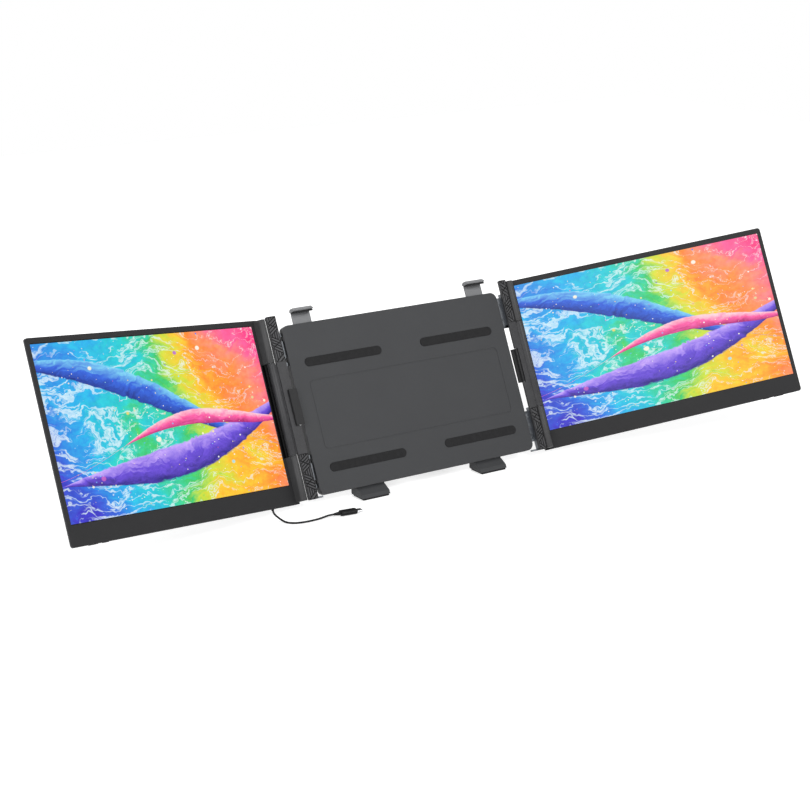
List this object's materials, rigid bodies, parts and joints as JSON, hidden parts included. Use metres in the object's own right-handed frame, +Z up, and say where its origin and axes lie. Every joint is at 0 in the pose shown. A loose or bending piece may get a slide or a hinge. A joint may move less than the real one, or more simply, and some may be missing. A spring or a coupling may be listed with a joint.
{
  "type": "laptop screen extender",
  "caption": "Folding screen extender: a frame that grips an open laptop lid and carries a hinged monitor on each side, with sliding bars, lid hooks and a kickstand.",
  "frame": {"origin": "on the desk, under the middle of the whole extender at rest, its lead left out", "axes": "+X to the right along the spread of the two screens, -Y towards the user, +Z up"},
  "size_m": [1.0579, 0.2446, 0.2636],
  "materials": {
    "housing_plastic": "fine moulded grain",
    "rubber": "matt",
    "steel": "turned",
    "pressed_steel": "pressed sheet",
    "kickstand_metal": "powder coat",
    "hook_plastic": "satin moulded",
    "clip_plastic": "satin moulded",
    "liner_plastic": "matt moulded",
    "bar_metal": "satin",
    "trim_plastic": "low facets, satin",
    "bronze": "sintered",
    "bezel_plastic": "fine moulded grain",
    "display_glass": "lit screen behind low-glare glass",
    "backlight_white": "diffuser",
    "circuit_board": "solder mask",
    "cover_metal": "fine powder coat",
    "port_metal": "plated",
    "button_plastic": "satin",
    "lead_jacket": "satin"
  },
  "bodies": {
    "frame": {"front_plate": "housing_plastic", "rear_shell": "housing_plastic", "guide_rods": "steel", "lid_pads": "rubber", "front_feet": "rubber", "housing_screws": "steel", "kickstand_pin": "steel"},
    "kickstand": {"kickstand": "kickstand_metal", "kickstand_foot": "rubber"},
    "left_hook": {"left_hook": "hook_plastic", "left_hook_pad": "rubber"},
    "left_carriage": {"left_bar": "bar_metal", "left_bar_trim": "trim_plastic", "left_slide_arms": "pressed_steel", "left_bushes": "bronze", "left_hinge_barrel": "bar_metal", "left_hinge_shafts": "steel", "left_hinge_shield": "liner_plastic", "left_clip_pin": "steel"},
    "left_clip": {"left_clip": "clip_plastic"},
    "left_monitor": {"left_bezel": "bezel_plastic", "left_display": "display_glass", "left_backlight": "backlight_white", "left_driver_board": "circuit_board", "left_rear_cover": "cover_metal", "left_hinge_covers": "bezel_plastic", "left_hinge_brackets": "steel", "left_hinge_trough": "liner_plastic", "left_ports": "port_metal", "left_cover_screws": "steel", "lead_grommet": "lead_jacket", "lead": "lead_jacket", "lead_plug": "lead_jacket", "lead_plug_shell": "port_metal"},
    "left_power_button": {"left_power_button": "button_plastic"},
    "left_menu_button": {"left_menu_button": "button_plastic"},
    "right_hook": {"right_hook": "hook_plastic", "right_hook_pad": "rubber"},
    "right_carriage": {"right_bar": "bar_metal", "right_bar_trim": "trim_plastic", "right_slide_arms": "pressed_steel", "right_bushes": "bronze", "right_hinge_barrel": "bar_metal", "right_hinge_shafts": "steel", "right_hinge_shield": "liner_plastic", "right_clip_pin": "steel"},
    "right_clip": {"right_clip": "clip_plastic"},
    "right_monitor": {"right_bezel": "bezel_plastic", "right_display": "display_glass", "right_backlight": "backlight_white", "right_driver_board": "circuit_board", "right_rear_cover": "cover_metal", "right_hinge_covers": "bezel_plastic", "right_hinge_brackets": "steel", "right_hinge_trough": "liner_plastic", "right_ports": "port_metal", "right_cover_screws": "steel"},
    "right_power_button": {"right_power_button": "button_plastic"},
    "right_menu_button": {"right_menu_button": "button_plastic"}
  },
  "joints": [
    {"name": "kickstand_hinge", "type": "hinge", "parent": "frame", "child": "kickstand", "pos_m": [0, 0.06545, 0.14291], "axis": [1, 0, 0], "range_deg": [-45.5, 0]},
    {"name": "left_hook_slide", "type": "slide", "parent": "frame", "child": "left_hook", "axis": [0, 0.4226, 0.9063], "range_m": [0, 0.02]},
    {"name": "left_bar_slide", "type": "slide", "parent": "frame", "child": "left_carriage", "axis": [-1, 0, 0], "range_m": [0, 0.025]},
    {"name": "left_clip_hinge", "type": "hinge", "parent": "left_carriage", "child": "left_clip", "pos_m": [-0.1679, 0.03032, 0.11406], "axis": [0, 0.4226, 0.9063], "range_deg": [0, 180]},
    {"name": "left_monitor_hinge", "type": "hinge", "parent": "left_carriage", "child": "left_monitor", "pos_m": [-0.1852, 0.03172, 0.1134], "axis": [0, 0.4226, 0.9063], "range_deg": [-65, 160]},
    {"name": "left_power_button_press", "type": "slide", "parent": "left_monitor", "child": "left_power_button", "axis": [0, 0.4226, 0.9063], "range_m": [0, 0.0005], "stiffness_N_per_m": 800, "springref_m": -0.001},
    {"name": "left_menu_button_press", "type": "slide", "parent": "left_monitor", "child": "left_menu_button", "axis": [0, 0.4226, 0.9063], "range_m": [0, 0.0005], "stiffness_N_per_m": 800, "springref_m": -0.001},
    {"name": "right_hook_slide", "type": "slide", "parent": "frame", "child": "right_hook", "axis": [0, 0.4226, 0.9063], "range_m": [0, 0.02]},
    {"name": "right_bar_slide", "type": "slide", "parent": "frame", "child": "right_carriage", "axis": [1, 0, 0], "range_m": [0, 0.025]},
    {"name": "right_clip_hinge", "type": "hinge", "parent": "right_carriage", "child": "right_clip", "pos_m": [0.1679, 0.03032, 0.11406], "axis": [0, 0.4226, 0.9063], "range_deg": [0, 180]},
    {"name": "right_monitor_hinge", "type": "hinge", "parent": "right_carriage", "child": "right_monitor", "pos_m": [0.1826, 0.03109, 0.1137], "axis": [0, -0.4226, -0.9063], "range_deg": [-65, 160]},
    {"name": "right_power_button_press", "type": "slide", "parent": "right_monitor", "child": "right_power_button", "axis": [0, 0.4226, 0.9063], "range_m": [0, 0.0005], "stiffness_N_per_m": 800, "springref_m": -0.001},
    {"name": "right_menu_button_press", "type": "slide", "parent": "right_monitor", "child": "right_menu_button", "axis": [0, 0.4226, 0.9063], "range_m": [0, 0.0005], "stiffness_N_per_m": 800, "springref_m": -0.001}
  ]
}
